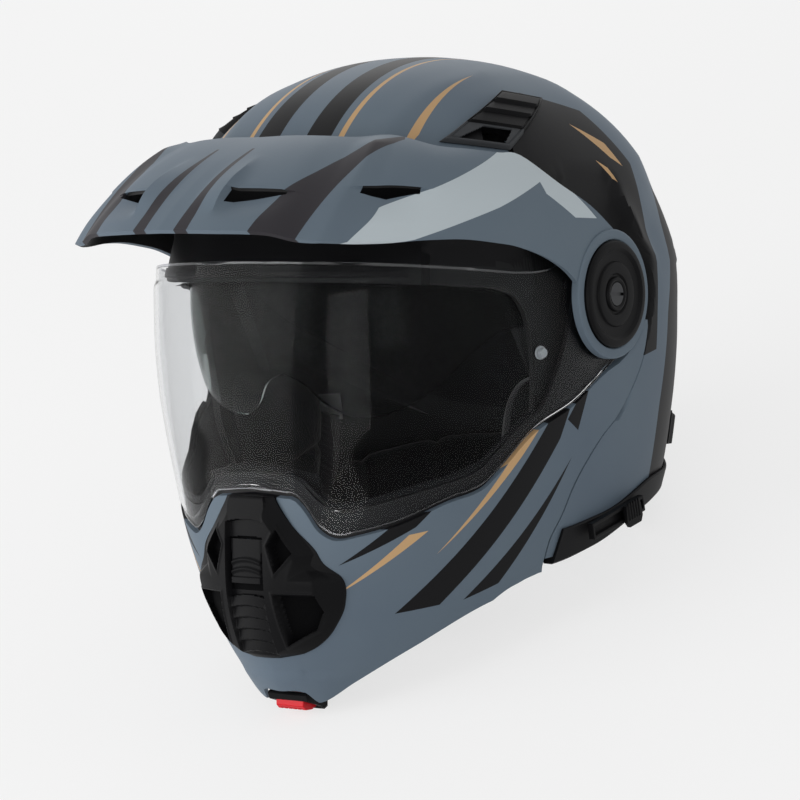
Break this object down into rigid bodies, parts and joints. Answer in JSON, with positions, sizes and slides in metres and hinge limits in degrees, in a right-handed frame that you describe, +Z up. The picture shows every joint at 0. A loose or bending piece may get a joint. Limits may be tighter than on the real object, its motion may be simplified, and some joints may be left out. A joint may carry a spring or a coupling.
{
  "type": "modular motorcycle helmet",
  "caption": "Modular helmet with a peak: chin bar, clear shield and peak turn on side hubs; inner sun visor, vents, latch and buckle move.",
  "frame": {"origin": "centre of the footprint at table height, helmet standing on its chin and rear lower edge", "axes": "+Z up, the face looks along -Y, the wearer's left is +X"},
  "size_m": [0.262, 0.3665, 0.2928],
  "materials": {
    "shell_paint": "matte clear-coated paint on moulded polymer, blue-grey with charcoal, light grey and sand panels",
    "black_plastic": "fine-grained black moulding",
    "clear_shield": "clear hard-coated polycarbonate",
    "smoke_visor": "smoke-tinted polycarbonate",
    "foam": "expanded bead foam",
    "slip_sheet": "thin low-friction sheet",
    "lining": "brushed lining fabric over foam",
    "mesh_fabric": "open-mesh fabric",
    "rubber_trim": "soft black rubber",
    "red_plastic": "red moulding, satin",
    "steel": "brushed stainless steel",
    "spring_steel": "spring wire",
    "strap_web": "woven strap",
    "tongue_plastic": "natural nylon",
    "clear_pins": "clear moulding",
    "black_screw": "blackened steel"
  },
  "bodies": {
    "shell_body": {"outer_shell": "shell_paint", "impact_liner": "foam", "slip_layer": "slip_sheet", "comfort_liner": "lining", "cheek_pad_left": "lining", "cheek_pad_right": "lining", "neck_roll": "lining", "edge_trim": "rubber_trim", "neck_trim": "black_plastic", "brow_seal": "rubber_trim", "rear_spoiler": "black_plastic", "crown_vent_left": "black_plastic", "crown_vent_right": "black_plastic", "pivot_hub_left": "black_plastic", "pivot_hub_right": "black_plastic", "pivot_cover_left": "black_plastic", "pivot_cover_right": "black_plastic", "pivot_screws": "black_screw", "latch_striker_left": "steel", "latch_striker_right": "steel", "sun_visor_pins": "steel", "sun_visor_cable": "black_plastic", "lever_rail": "black_plastic", "chin_strap_left": "strap_web", "chin_strap_right": "strap_web", "strap_anchor_left": "steel", "strap_anchor_right": "steel", "buckle_frame": "steel", "strap_tongue": "tongue_plastic"},
    "chin_bar_body": {"chin_bar": "shell_paint", "chin_liner": "foam", "breath_guard": "rubber_trim", "chin_curtain": "mesh_fabric", "chin_vent_housing": "black_plastic", "chin_vent_mesh": "mesh_fabric", "button_housing": "black_plastic", "button_spring": "spring_steel", "release_cable_left": "black_plastic", "release_cable_right": "black_plastic", "latch_pins": "steel", "chin_hinge_left": "steel", "chin_hinge_right": "steel", "hinge_rivets": "steel", "chin_seal": "rubber_trim"},
    "shield_body": {"shield": "clear_shield", "anti_fog_pins": "clear_pins"},
    "peak_body": {"peak": "shell_paint"},
    "sun_visor_body": {"sun_visor": "smoke_visor"},
    "lever_body": {"sun_visor_lever": "black_plastic"},
    "button_body": {"release_button": "red_plastic"},
    "latch_left_body": {"latch_hook_left": "steel"},
    "latch_right_body": {"latch_hook_right": "steel"},
    "vent_slider_body": {"chin_vent_slider": "black_plastic"},
    "crown_shutter_left_body": {"crown_shutter_left": "black_plastic"},
    "crown_shutter_right_body": {"crown_shutter_right": "black_plastic"},
    "buckle_lever_body": {"buckle_lever": "red_plastic"}
  },
  "joints": [
    {"name": "chin_bar_lift", "type": "hinge", "parent": "shell_body", "child": "chin_bar_body", "pos_m": [0, 0.0249, 0.1558], "axis": [-1, 0, 0], "range_deg": [0, 70]},
    {"name": "shield_lift", "type": "hinge", "parent": "chin_bar_body", "child": "shield_body", "pos_m": [0, 0.0249, 0.1558], "axis": [-1, 0, 0], "range_deg": [0, 42]},
    {"name": "peak_tilt", "type": "hinge", "parent": "chin_bar_body", "child": "peak_body", "pos_m": [0, 0.0249, 0.1558], "axis": [-1, 0, 0], "range_deg": [0, 8]},
    {"name": "sun_visor_swing", "type": "hinge", "parent": "shell_body", "child": "sun_visor_body", "pos_m": [0, 0.0249, 0.1558], "axis": [-1, 0, 0], "range_deg": [0, 40]},
    {"name": "sun_visor_lever_slide", "type": "slide", "parent": "shell_body", "child": "lever_body", "axis": [0, -0.9833, 0.182], "range_m": [0, 0.024]},
    {"name": "release_button_press", "type": "slide", "parent": "chin_bar_body", "child": "button_body", "axis": [0, 0.4226, 0.9063], "range_m": [0, 0.003], "stiffness_N_per_m": 900, "springref_m": -0.002, "deforming": ["button_spring"]},
    {"name": "latch_left_turn", "type": "hinge", "parent": "chin_bar_body", "child": "latch_left_body", "pos_m": [0.10522, -0.06743, 0.06064], "axis": [0.9593, -0.2316, -0.1618], "range_deg": [0, 14]},
    {"name": "latch_right_turn", "type": "hinge", "parent": "chin_bar_body", "child": "latch_right_body", "pos_m": [-0.10522, -0.06743, 0.06064], "axis": [0.9593, 0.2316, 0.1618], "range_deg": [0, 14]},
    {"name": "chin_vent_slide", "type": "slide", "parent": "chin_bar_body", "child": "vent_slider_body", "axis": [0, 0.4144, 0.9101], "range_m": [0, 0.006]},
    {"name": "crown_shutter_left_slide", "type": "slide", "parent": "shell_body", "child": "crown_shutter_left_body", "axis": [0.1167, -0.9913, -0.0606], "range_m": [0, 0.008]},
    {"name": "crown_shutter_right_slide", "type": "slide", "parent": "shell_body", "child": "crown_shutter_right_body", "axis": [-0.1167, -0.9913, -0.0606], "range_m": [0, 0.008]},
    {"name": "buckle_lever_turn", "type": "hinge", "parent": "shell_body", "child": "buckle_lever_body", "pos_m": [0.00744, -0.08459, 0.04498], "axis": [0, -0.9925, 0.1219], "range_deg": [0, 60]}
  ],
  "couplings": [
    {"joint": "sun_visor_swing", "follows": "sun_visor_lever_slide", "rad_per_m": 29.086},
    {"joint": "latch_left_turn", "follows": "release_button_press", "rad_per_m": 81.441},
    {"joint": "latch_right_turn", "follows": "release_button_press", "rad_per_m": 81.441}
  ]
}
